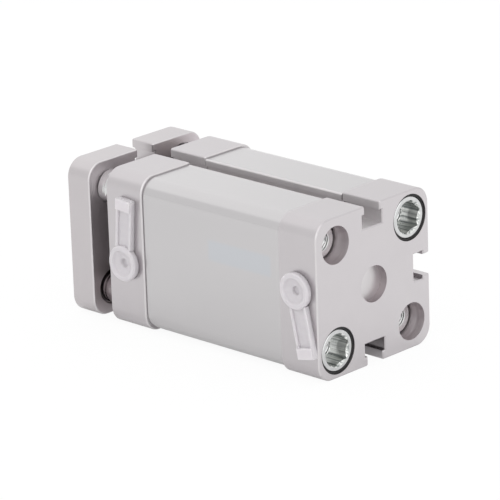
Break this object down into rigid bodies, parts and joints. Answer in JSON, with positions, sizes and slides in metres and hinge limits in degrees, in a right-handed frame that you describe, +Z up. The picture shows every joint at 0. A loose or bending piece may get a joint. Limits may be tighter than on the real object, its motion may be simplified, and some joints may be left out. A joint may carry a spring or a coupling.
{
  "type": "guided pneumatic cylinder",
  "caption": "Guided compact pneumatic cylinder: square slotted aluminium body, piston rod and guide rods tied by a yoke plate, hollow corner screws, pull-tab dust plugs in the ports.",
  "frame": {"origin": "centre of the rear centring bore's mouth, on the rear mounting face", "axes": "+X out of the rear mounting face along the cylinder axis, so the rod extends towards -X; +Z up; the ports are on the -Y side"},
  "size_m": [0.0825, 0.0414, 0.0396],
  "materials": {
    "anodised_extrusion": "satin",
    "blasted_caps": "matte",
    "plate_aluminium": "matte",
    "piston_aluminium": "satin",
    "zinc_plate": "polished",
    "hard_chrome": "polished",
    "bearing_bronze": "satin",
    "black_rubber": "matte",
    "ferrite_plastic": "matte",
    "plug_polyethylene": "satin"
  },
  "bodies": {
    "housing": {"barrel": "anodised_extrusion", "rear_cap": "blasted_caps", "front_cap": "blasted_caps", "rear_cap_oring": "black_rubber", "front_cap_oring": "black_rubber", "rear_cap_screws": "zinc_plate", "front_cap_screws": "zinc_plate", "rear_guide_screws": "zinc_plate", "rear_guide_seals": "black_rubber", "rod_bearing": "bearing_bronze", "rod_seal": "black_rubber", "guide_bush_upper": "bearing_bronze", "guide_bush_lower": "bearing_bronze"},
    "rod_and_yoke": {"piston": "piston_aluminium", "piston_seal_rear": "black_rubber", "piston_seal_front": "black_rubber", "magnet_ring": "ferrite_plastic", "buffer_rear": "black_rubber", "buffer_front": "black_rubber", "piston_rod": "hard_chrome", "piston_screw": "zinc_plate", "guide_rod_upper": "hard_chrome", "guide_rod_lower": "hard_chrome", "yoke_plate": "plate_aluminium", "yoke_centre_screw": "zinc_plate", "yoke_guide_screws": "zinc_plate"},
    "rear_plug": {"rear_port_plug": "plug_polyethylene"},
    "front_plug": {"front_port_plug": "plug_polyethylene"}
  },
  "joints": [
    {"name": "stroke", "type": "slide", "parent": "housing", "child": "rod_and_yoke", "axis": [-1, 0, 0], "range_m": [0, 0.03]},
    {"name": "rear_plug_pull", "type": "slide", "parent": "housing", "child": "rear_plug", "axis": [0, -1, 0], "range_m": [0, 0.03]},
    {"name": "front_plug_pull", "type": "slide", "parent": "housing", "child": "front_plug", "axis": [0, -1, 0], "range_m": [0, 0.03]}
  ]
}
